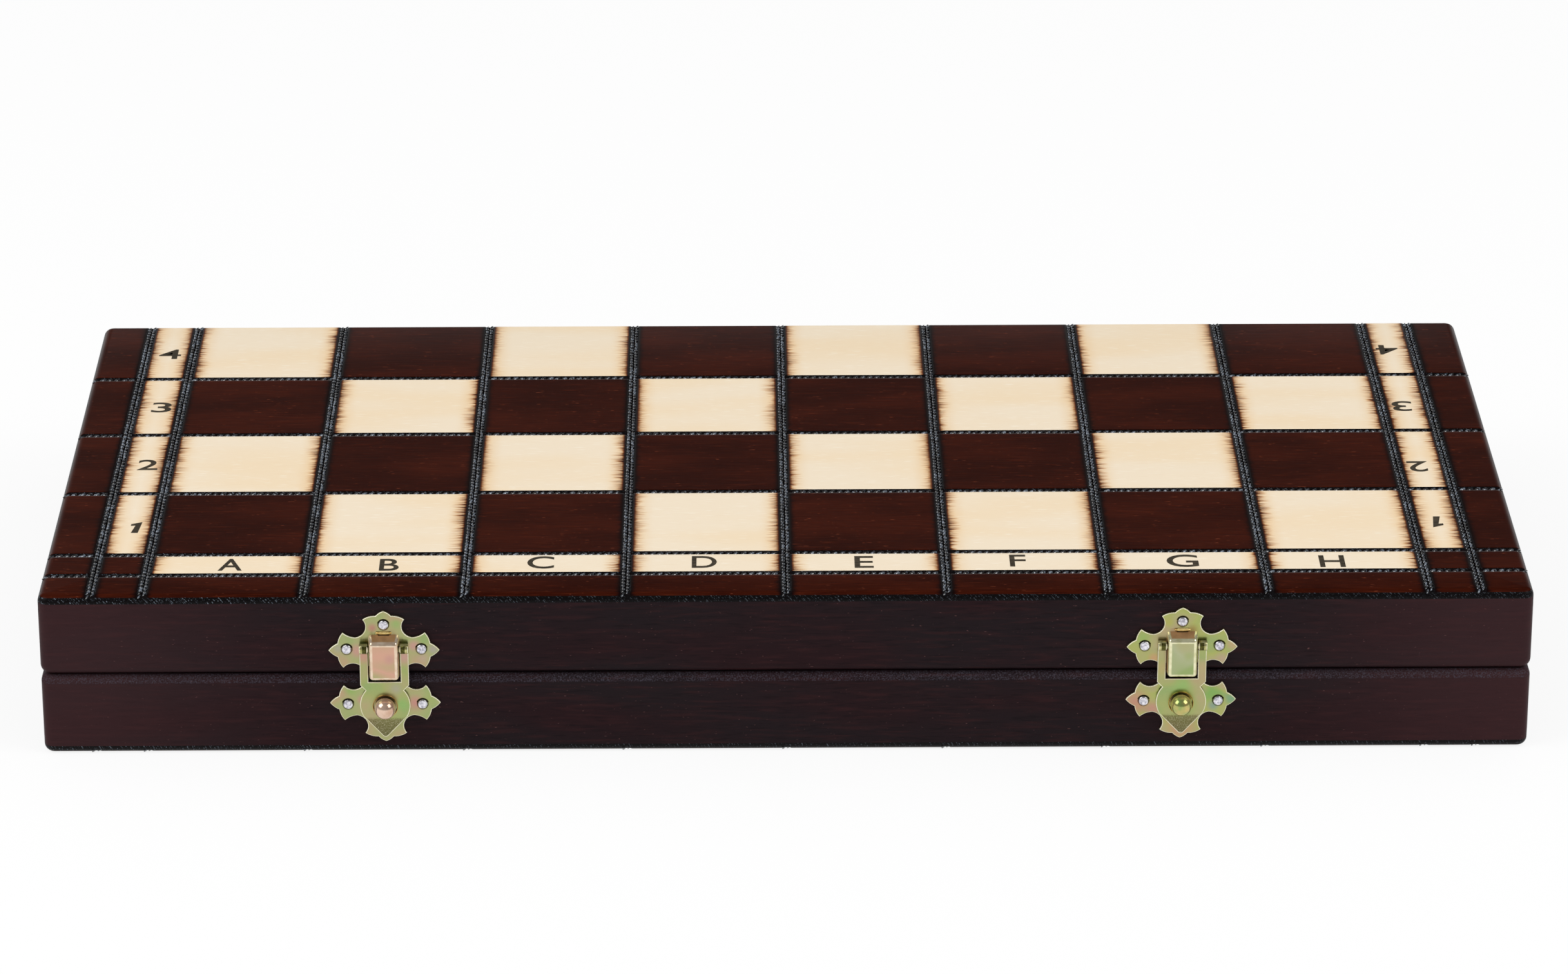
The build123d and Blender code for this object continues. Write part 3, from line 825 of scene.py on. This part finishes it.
class CHESSBOX_OT_clasps(bpy.types.Operator):
    """Makes both clasps: cross plates, cap, hasp, balls, nails and the springs inside"""

    bl_idname = "chess_box.clasps"
    bl_label = "Clasps"

    # Order of the materials: first on the plates and the hasp, then what only the plates, only
    # the hasp and the cap have
    SHEET, CUT_EDGE = range(2)
    RIM = 2
    HOLLOW, HOLE_WALL, ROLLED, GILT = range(2, 6)
    FRONT, WALLS, WORN, SLOT, TAB = range(5)
    # Plated colours of the left and the right clasp, the last two light and dark; the cap's
    # edges are painted pale as a highlight
    PLATE = {"left": "#A6AC76", "right": "#ABB068"}
    CAP = {"left": "#D2A58E", "right": "#B0B48E"}
    WORN_EDGE = {"left": ("#F2DEC6", "#E0C4A8"), "right": ("#EFEBC4", "#D6D4A2")}
    BALL = {"left": ("#E8CAB4", "#CCA48A"), "right": ("#D6BC76", "#8AAA60")}
    # Tints of the film, and one of painted shade: millimetres right of and above the middle of
    # the clasp, radius, hex
    BLUSHES = {
        ("left", "upper"): ((-2.6, 12.3, 1.3, "#BC8478"), (-6.3, 6.4, 2.0, "#C6968A"),
                            (7.0, 7.6, 1.6, "#C6968C"), (9.0, 4.4, 1.8, "#BCA48E"),
                            (-10.8, 7.0, 1.4, "#ABA793"), (11.5, 6.8, 1.4, "#ABA396"),
                            (3.0, 13.4, 1.6, "#98B06E")),
        # On the right upper plate the tint at 2.3, 10.9 is painted shade next to the cap's tab
        ("right", "upper"): ((-6.5, 3.7, 1.6, "#C49A74"), (-9.2, 9.0, 2.2, "#98B266"),
                             (-3.3, 12.8, 1.7, "#B2B05E"), (2.3, 10.9, 1.5, "#A08A54"),
                             (11.9, 7.3, 1.7, "#BEA47E"), (9.5, 3.4, 1.7, "#B8A288")),
        ("left", "strike"): ((-5.4, -6.2, 1.4, "#C29486"), (7.0, -7.0, 2.3, "#C68A84"),
                             (-8.2, -3.9, 1.8, "#96B268"), (10.5, -5.8, 1.8, "#A0AE6C")),
        ("right", "strike"): ((-10.8, -7.5, 3.6, "#C48A7A"), (-6.5, -9.2, 2.0, "#C08E80"),
                              (7.1, -5.6, 2.8, "#7EAA5E"), (7.6, -8.6, 1.4, "#88A090"),
                              (11.8, -7.0, 1.7, "#7EA27E"), (0, -14.3, 4.2, "#C2957A")),
        ("left", "hasp"): ((-4.7, 5.4, 2.2, "#C69284"), (4.8, 5.2, 2.2, "#C69890"),
                           (2.6, -2.9, 1.7, "#ABA68E"), (4.0, -6.8, 1.7, "#92B46C")),
        ("right", "hasp"): ((-4.7, 1.6, 2.4, "#B8A874"), (4.7, 1.6, 2.2, "#BAA67E"),
                            (0.3, -3.4, 2.6, "#96B66E")),
        ("left", "cap"): ((1.4, 5.5, 1.4, "#C79A8C"),),
        ("right", "cap"): ((1.4, 5.5, 1.4, "#A5AE78"),),
    }
    # Metres: nail heads, the ball's stem, and where the hasp's tail bends
    NAIL_RADIUS = 0.00115
    STEM_RADIUS = 0.0013
    TAIL_BEND = -0.0107
    # What starts 2 mm out is the cap's front: its share of the width, what its top drops by
    # and its foot rises by, and how round its edges are
    CAP_FRONT, FRONT_SHARE = 0.002, 0.91
    TOP_DROP, FOOT_RISE = 0.00115, 0.0001
    CAP_ROUNDING = 0.00075
    # The rest is in millimetres from the middle of the clasp: right, up and out of the front.
    # The tab's slot in the upper plate, and how far its rim reaches to the side and up
    TAB_PLACE, TAB_REACH = (0, 11.0), (2.2, 1.0)
    # The hasp's rolled ends, and the ring round its ball hole, painted gold as a reflection
    ROLLED_FROM, ROLL_FOOT, ROLL_FRONT, ROLL_TOP = 5.0, 6.45, 2.4, 8.5
    RING_RADIUS = 3.3
    # The cap's block, and a dark block under the tab's end, painted as the shade in the gap
    CAP_BLOCK = ((-3.65, 3.65), (-0.1, 10.6), (0.7, 3.85))
    GAP_BLOCK = ((-1.3, 1.3), (10.5, 10.68), (0.75, 1.12))

    def execute(self, context):
        plan, sizes, _ = settings()
        # Cut edges painted near-white: partly the bare metal, partly a painted highlight along the
        # outlines
        edge = bright_metal("cut edge of the zinc plate", "#FAF5DA", "#EFE8C4", 0.4, grit_mm=3.0,
                            relief=0, metallic=0.45)
        nails = bright_metal("struck galvanised nail", "#F0EEF4", "#A4A2AE", 0.34, grit_mm=0.5,
                             relief=0.7)
        spring = bright_metal("blued spring steel", "#5A5C62", "#3D3F46", 0.35)
        for side in SIDES:
            low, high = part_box(f"clasp_{side}_hasp")
            middle = Vector(((low.x + high.x) / 2, -plan.half_depth, plan.middle))
            self.plates(side, middle, sizes, edge)
            self.hasp(side, middle, sizes, edge)
            self.cap(side, middle)
            self.ball(side, middle)
            paint_node(f"clasp_{side}_leaf_spring", spring)
            paint_node(f"clasp_{side}_upper_nails", nails)
            paint_node(f"clasp_{side}_strike_nails", nails)
        return {"FINISHED"}

    def at(self, middle, x, z):
        """A point on the front, in millimetres from the middle of a clasp."""
        return Vector((middle.x + x / 1000, middle.y, middle.z + z / 1000))

    def blushes(self, middle, side, part):
        """The film's tints on one part of a clasp, and any painted shade among them, as points
        and radii in metres.
        """
        return [(self.at(middle, x, z), radius / 1000, tint)
                for x, z, radius, tint in self.BLUSHES[side, part]]

    def plates(self, side, middle, sizes, edge):
        """The two crosses, with cut edges painted bright, partly as a highlight, and the rims
        round their nails painted dark above as shade.
        """
        # Painted shade: the rims of the nail holes, above their middles
        rim = bright_metal(f"punched rims, {side} plates", "#56522C", "#38361A", 0.5)
        for name, body in (("upper", "lid"), ("strike", "base")):
            zinc = passivated_zinc(f"yellow passivated zinc, {side} {name} plate",
                                   self.PLATE[side], self.blushes(middle, side, name),
                                   shift=middle.x)
            node = f"clasp_{side}_{name}_plate"
            bm = cleaned_copy(node)
            soften(bm, sizes.sheet_edge, mark=self.CUT_EDGE)
            self.dull_holes(bm, middle, f"clasp_{side}_{name}_nails")
            finish_piece(bm, f"{side}_{name}_cross", [zinc, edge, rim], body,
                         [node], smooth=50.0)

    def dull_holes(self, bm, middle, nails):
        """Takes the bright edge off the rims of the nail holes and of the tab's slot, and paints
        the nail holes' rims dark above as shade.
        """
        low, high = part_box(nails)
        head = self.NAIL_RADIUS
        centres = [(low.x + head, low.z + head), (high.x - head, low.z + head)]
        if "upper" in nails:
            centres.append((middle.x, high.z - head))
        slot = self.at(middle, *self.TAB_PLACE)
        for face in bm.faces:
            if face.material_index == self.SHEET:
                continue
            centre = face.calc_center_median()
            from_slot = (centre - slot) * 1000
            if abs(from_slot.x) < self.TAB_REACH[0] and abs(from_slot.z) < self.TAB_REACH[1]:
                face.material_index = self.SHEET
            for x, z in centres:
                if math.hypot(centre.x - x, centre.z - z) < 1.55 * head:
                    dark = centre.z > z + 0.3 * head
                    face.material_index = self.RIM if dark else self.SHEET

    def hasp(self, side, middle, sizes, edge):
        """The hasp with its rolled ends, its window, its ball hole and its bent tail."""
        zinc = passivated_zinc(f"yellow passivated zinc, {side} hasp", "#A5AC6E",
                               self.blushes(middle, side, "hasp"), shift=middle.x + 0.05,
                               bent_at=middle.z + self.TAIL_BEND)
        # Painted highlight on the outside and the top of the rolled ends
        rolled = bright_metal(f"worn zinc, {side} rolled ends", "#DAD49C", "#A8A264", 0.34,
                              grit_mm=1.2, relief=0, metallic=0.85)
        # Painted shade inside the rolled ends, next to the cap
        hollow = bright_metal(f"shadowed zinc inside the {side} rolled ends", "#6A6834",
                              "#3E3A1C", 0.45)
        shade = bright_metal(f"wall of the {side} ball hole", "#6E4A22", "#3C2410", 0.5)
        # Painted reflection: the rim round the ball hole painted gold
        gold_reflection = bright_metal(f"gold zinc round the {side} ball hole", "#E8C478", "#BC8E42", 0.3,
                            grit_mm=1.0, relief=0, metallic=0.75)
        node = f"clasp_{side}_hasp"
        bm = cleaned_copy(node)
        # The rolled ends round the bar: painted bright outside as a highlight, and dark next to
        # the cap as painted shade
        for x in (-self.ROLLED_FROM, self.ROLLED_FROM):
            upper = [f for f in bm.faces if f.calc_center_median().z > middle.z + 0.0062]
            bmesh.ops.bisect_plane(bm, geom=with_edges(upper), dist=CAD_MERGE,
                                   plane_no=(1, 0, 0), plane_co=self.at(middle, x, 0))
        soften(bm, sizes.sheet_edge, mark=self.CUT_EDGE)
        low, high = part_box(f"clasp_{side}_ball_stud")
        hole = ((low.z + high.z) / 2 - middle.z) * 1000
        for face in bm.faces:
            centre = (face.calc_center_median() - middle) * 1000
            at_hole = math.hypot(centre.x, centre.z - hole) < self.RING_RADIUS
            if face.material_index == self.CUT_EDGE:
                face.material_index = self.GILT if at_hole else self.CUT_EDGE
            elif centre.z > self.ROLL_TOP:
                face.material_index = self.ROLLED
            elif centre.z > self.ROLL_FOOT and centre.y < -self.ROLL_FRONT:
                outside = abs(centre.x) > self.ROLLED_FROM
                face.material_index = self.ROLLED if outside else self.HOLLOW
            elif at_hole and abs(face.normal.y) < 0.5:
                face.material_index = self.HOLE_WALL
        finish_piece(bm, f"{side}_hasp_sheet", [zinc, edge, hollow, shade, rolled, gold_reflection],
                     f"hasp_{side}", [node], smooth=50.0)

    def cap(self, side, middle):
        """The pressed cap: walls that draw in towards the front, a sloping top and round edges."""
        zinc = passivated_zinc(f"polished passivated zinc, {side} cap", self.CAP[side],
                               self.blushes(middle, side, "cap"), patch_mm=16.0,
                               shift=middle.x + 0.02, roughness=0.2)
        walls = bright_metal(f"passivated zinc, {side} cap's walls", "#B88E62", "#9E7850", 0.4,
                             grit_mm=3.0, relief=0, metallic=0.55)
        # Painted highlight: the cap's rounded edges painted pale
        highlit = bright_metal(f"zinc worn bright, {side} cap's edges", *self.WORN_EDGE[side], 0.22,
                            grit_mm=1.5, relief=0.05, metallic=0.72)
        # Painted shade: the dark block in the gap under the tab's end
        slot = bright_metal("shadowed slot in zinc", "#2A2012", "#120D08", 0.7)
        gold = bright_metal(f"gold zinc, {side} tab's end", "#F0D890", "#CCA85E", 0.3,
                            grit_mm=0.8, relief=0.1, metallic=0.6)
        bm = bmesh.new()
        self.block(bm, middle, *self.CAP_BLOCK, self.WALLS)
        outer = middle.y - self.CAP_FRONT
        for vert in bm.verts:
            if vert.co.y < outer:
                vert.co.x = middle.x + (vert.co.x - middle.x) * self.FRONT_SHARE
                at_top = vert.co.z > middle.z + 0.005
                vert.co.z += -self.TOP_DROP if at_top else self.FOOT_RISE
        for face in bm.faces:
            if all(v.co.y < outer for v in face.verts):
                face.material_index = self.FRONT
        edges = [e for e in bm.edges if any(v.co.y < outer for v in e.verts)]
        for face in bevel_edges(bm, edges, self.CAP_ROUNDING, 5):
            face.material_index = self.WORN
        # The tab's end, a shallow lens over the plate's slot, with a dark block under it as the
        # painted shade of the gap
        lens = Matrix.Translation(self.at(middle, *self.TAB_PLACE) + Vector((0, -0.0009, 0)))
        made = bmesh.ops.create_uvsphere(bm, u_segments=24, v_segments=12, radius=0.001,
                                         matrix=lens @ Matrix.Diagonal((1.95, 0.3, 0.44, 1)))
        for face in {f for v in made["verts"] for f in v.link_faces}:
            face.material_index = self.TAB
        self.block(bm, middle, *self.GAP_BLOCK, self.SLOT)
        finish_piece(bm, f"{side}_pressed_cap", [zinc, walls, highlit, slot, gold], "lid",
                     [f"clasp_{side}_spring_cap"])

    def block(self, bm, middle, x, z, out, index):
        """A block between two values each way, in millimetres from the middle of the clasp."""
        spans = [(b - a) / 1000 for a, b in (x, out, z)]
        centre = (middle.x + sum(x) / 2000, middle.y - sum(out) / 2000, middle.z + sum(z) / 2000)
        made = bmesh.ops.create_cube(
            bm, size=1, matrix=Matrix.Translation(centre) @ Matrix.Diagonal((*spans, 1)))
        for face in {f for v in made["verts"] for f in v.link_faces}:
            face.material_index = index

    def ball(self, side, middle):
        """Turned ball with its stem, spun from its outline round the stud's axis."""
        zinc = bright_metal(f"polished ball, {side}", *self.BALL[side], 0.17, grit_mm=4.0,
                            relief=0, metallic=0.65)
        low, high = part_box(f"clasp_{side}_ball_stud")
        radius = (high.z - low.z) / 2
        height = (low.z + high.z) / 2
        centre_y = low.y + radius
        bm = bmesh.new()
        start = math.asin(self.STEM_RADIUS / radius)
        outline = [bm.verts.new((middle.x, high.y, height)),
                   bm.verts.new((middle.x, high.y, height + self.STEM_RADIUS))]
        steps = 16
        for k in range(steps + 1):
            angle = start + (math.pi - start) * k / steps
            outline.append(bm.verts.new((middle.x, centre_y + radius * math.cos(angle),
                                         height + radius * math.sin(angle))))
        for a, b in zip(outline, outline[1:]):
            bm.edges.new((a, b))
        bmesh.ops.spin(bm, geom=bm.verts[:] + bm.edges[:], cent=(middle.x, 0, height),
                       axis=(0, 1, 0), angle=2 * math.pi, steps=40, use_merge=True)
        bmesh.ops.remove_doubles(bm, verts=bm.verts, dist=OWN_MERGE)
        bmesh.ops.recalc_face_normals(bm, faces=bm.faces)
        finish_piece(bm, f"{side}_ball", [zinc], "base",
                     [f"clasp_{side}_ball_stud"])


class CHESSBOX_OT_hinges(bpy.types.Operator):
    """Finishes the two butt hinges and their screws"""

    bl_idname = "chess_box.hinges"
    bl_label = "Hinges"

    EDGE_RADIUS = 0.00012

    def execute(self, context):
        brass = bright_metal("satin rolled brass", context.scene.chess_box_colours.brass,
                             "#B58E48", 0.3, grit_mm=0.8, relief=0.08)
        screws = bright_metal("turned brass screw", "#D9B670", "#A98244", 0.26)
        pin = bright_metal("drawn brass pin", "#BE9A58", "#94733A", 0.34)
        for side in SIDES:
            for half in HALVES:
                node = f"hinge_{side}_{half}_leaf"
                bm = cleaned_copy(node)
                soften(bm, self.EDGE_RADIUS)
                finish_piece(bm, f"{side}_{half}_hinge_leaf", [brass], half, [node])
                paint_node(f"hinge_{side}_{half}_screws", screws)
            paint_node(f"hinge_{side}_pin", pin)
        return {"FINISHED"}


class CHESSBOX_OT_felt(bpy.types.Operator):
    """Lays the felt liners in both trays"""

    bl_idname = "chess_box.felt"
    bl_label = "Felt Liners"

    # The gap under the felt, the thickness left for its uneven top, and the height and the
    # noise's scale of the hills on it
    GAP = 0.00002
    SPARE = 0.0002
    HILLS = 0.00012
    HILL_SCALE = 90

    def execute(self, context):
        plan, _, colours = settings()
        material = liner_felt(colours)
        for half in HALVES:
            bm = bmesh.new()
            low, high = FELT_LOW, FELT_HIGH
            thickness = high.z - low.z
            bmesh.ops.create_grid(bm, x_segments=120, y_segments=56, size=0.5,
                                  matrix=Matrix.Translation((0, 0, low.z + self.GAP))
                                  @ Matrix.Diagonal((high.x - low.x, high.y - low.y, 1, 1)))
            bmesh.ops.solidify(bm, geom=bm.faces[:], thickness=-(thickness - self.SPARE))
            bmesh.ops.recalc_face_normals(bm, faces=bm.faces)
            middle = (low.z + high.z) / 2
            for vert in bm.verts:
                if vert.co.z > middle:
                    x, y = vert.co.x * self.HILL_SCALE, vert.co.y * self.HILL_SCALE
                    vert.co.z += self.HILLS * max(-1.0, min(1.0, noise.noise((x, y, 3.0))))
            if half == "lid":
                turned_over(bm, plan)
            name = f"{half}_felt"
            piece = finish_piece(bm, name, [material], half, [f"{half}_felt_liner"])
        return {"FINISHED"}


class CHESSBOX_OT_stage(bpy.types.Operator):
    """Sets up the pale floor, the soft studio light and the camera"""

    bl_idname = "chess_box.stage"
    bl_label = "Stage"

    # Camera fitted to the lines of the board: focal length in pixels of the 2433 pixel wide
    # photograph, angles in degrees, and the top face's centre in front of the camera in metres
    PICTURE_WIDTH = 2433
    FOCAL_PIXELS = 9576.7
    ELEVATION, YAW, ROLL = 22.665, 0.5182, -0.0370
    TARGET = Vector((-0.000252, -0.008814, 1.521438))
    LIT_POINT = Vector((0, -0.03, 0.02))
    WHITE = (1, 1, 1, 1)
    PAPER = (0.93, 0.93, 0.93, 1)

    def execute(self, context):
        scene = context.scene
        scene.view_settings.view_transform = "Standard"
        self.camera(scene)
        self.floor()
        self.world(scene)
        self.softbox(scene, "key_softbox", (-1.00, -0.42, 1.00), 0.85, 8.0)
        self.softbox(scene, "fill_softbox", (0.98, -0.46, 1.00), 0.80, 7.0)
        return {"FINISHED"}

    def camera(self, scene):
        """The photograph's camera, from the fitted angles and the top face's centre."""
        rise, yaw, roll = (math.radians(a) for a in (self.ELEVATION, self.YAW, self.ROLL))
        turn = Matrix.Rotation(yaw, 3, "Z")
        look = Matrix(((1, 0, 0), (0, -math.sin(rise), -math.cos(rise)),
                       (0, math.cos(rise), -math.sin(rise))))
        tilt = Matrix.Rotation(roll, 3, "Z")
        to_camera = tilt @ look @ turn
        back = to_camera.transposed()
        place = Vector((0, 0, PANEL_HIGH.z)) - back @ self.TARGET
        flip = Matrix.Diagonal((1, -1, -1))
        data = bpy.data.cameras.new("camera")
        data.sensor_fit = "HORIZONTAL"
        data.sensor_width = 36.0
        data.lens = self.FOCAL_PIXELS / self.PICTURE_WIDTH * data.sensor_width
        data.clip_start = 0.05
        data.clip_end = 50.0
        camera = bpy.data.objects.new("camera", data)
        camera.matrix_world = Matrix.Translation(place) @ (back @ flip).to_4x4()
        scene.collection.objects.link(camera)
        scene.camera = camera

    def seen_share(self, tree, share):
        """share for what the camera, metal and glass see, and 0 for the light on the object."""
        total = put(tree, "LightPath", out="Is Camera Ray")
        for name in ("Is Glossy Ray", "Is Transmission Ray"):
            more = put(tree, "LightPath", out=name)
            total = put(tree, "Math", (total, more), operation="MAXIMUM")
        return put(tree, "Math", (total, share), operation="MULTIPLY")

    def floor(self):
        """Matt white paper, nearly as bright as the background, that keeps a soft shadow."""
        bm = bmesh.new()
        bmesh.ops.create_grid(bm, x_segments=1, y_segments=1, size=6.0)
        floor = object_from(bm, "floor")
        material = bpy.data.materials.new("matt white paper")
        material.use_nodes = True
        tree = material.node_tree
        tree.nodes.clear()
        paper = put(tree, "BsdfDiffuse", {"Color": self.PAPER})
        white = put(tree, "Emission", {"Color": self.WHITE, "Strength": 1.0})
        mixed = put(tree, "MixShader", (self.seen_share(tree, 0.86), paper, white))
        put(tree, "OutputMaterial", {"Surface": mixed}, out=None)
        floor.data.materials.append(material)

    def world(self, scene):
        """Seen: a white sweep up to 15 degrees under a dim ceiling. On the object: even light."""
        world = bpy.data.worlds.new("studio")
        world.use_nodes = True
        tree = world.node_tree
        tree.nodes.clear()
        ambient = put(tree, "Background", {"Color": self.WHITE, "Strength": 0.62})
        direction = put(tree, "TexCoord", out="Generated")
        height = put(tree, "SeparateXYZ", (direction,), out="Z")
        across = put(tree, "SeparateXYZ", (direction,), out="X")
        ceiling = put(tree, "MapRange", (across, -0.6, 0.6, 0.14, 0.02), **SMOOTH)
        rise = put(tree, "MapRange", (height, 0.05, 0.20), **SMOOTH)
        level = put(tree, "Mix", {"Factor": rise, "A": 1.0, "B": ceiling})
        seen = put(tree, "Background", {"Color": self.WHITE, "Strength": level})
        mixed = put(tree, "MixShader", (self.seen_share(tree, 1.0), ambient, seen))
        put(tree, "OutputWorld", {"Surface": mixed}, out=None)
        scene.world = world

    def softbox(self, scene, name, place, size, power):
        """A square lamp, its size in metres and its power in watts, aimed at the box."""
        light = bpy.data.lights.new(name, "AREA")
        light.shape = "SQUARE"
        light.size = size
        light.energy = power
        lamp = bpy.data.objects.new(name, light)
        aim = (self.LIT_POINT - Vector(place)).to_track_quat("-Z", "Y")
        lamp.matrix_world = Matrix.Translation(place) @ aim.to_matrix().to_4x4()
        scene.collection.objects.link(lamp)


class CHESSBOX_PT_panel(bpy.types.Panel):
    """Lists the sizes, the colours and the pieces of the chess box"""

    bl_idname = "CHESSBOX_PT_panel"
    bl_label = "Chess Box"
    bl_space_type = "VIEW_3D"
    bl_region_type = "UI"
    bl_category = "Chess Box"

    def draw(self, context):
        for group in (context.scene.chess_box_sizes, context.scene.chess_box_colours):
            box = self.layout.box()
            for name in group.bl_rna.properties.keys():
                if name not in ("rna_type", "name"):
                    box.prop(group, name)
        for operator in OPERATORS:
            self.layout.operator(operator.bl_idname)


OPERATORS = (CHESSBOX_OT_panels, CHESSBOX_OT_strands, CHESSBOX_OT_letters, CHESSBOX_OT_rails,
             CHESSBOX_OT_clasps, CHESSBOX_OT_hinges, CHESSBOX_OT_felt, CHESSBOX_OT_stage)
CLASSES = (ChessBoxSizes, ChessBoxColours, *OPERATORS, CHESSBOX_PT_panel)


def register():
    for item in CLASSES:
        bpy.utils.register_class(item)
    bpy.types.Scene.chess_box_sizes = PointerProperty(type=ChessBoxSizes)
    bpy.types.Scene.chess_box_colours = PointerProperty(type=ChessBoxColours)


def unregister():
    del bpy.types.Scene.chess_box_colours
    del bpy.types.Scene.chess_box_sizes
    for item in reversed(CLASSES):
        bpy.utils.unregister_class(item)


def main():
    register()
    bpy.ops.chess_box.stage()
    bpy.ops.chess_box.panels()
    bpy.ops.chess_box.strands()
    bpy.ops.chess_box.letters()
    bpy.ops.chess_box.rails()
    bpy.ops.chess_box.clasps()
    bpy.ops.chess_box.hinges()
    bpy.ops.chess_box.felt()


if __name__ == "__main__":
    main()
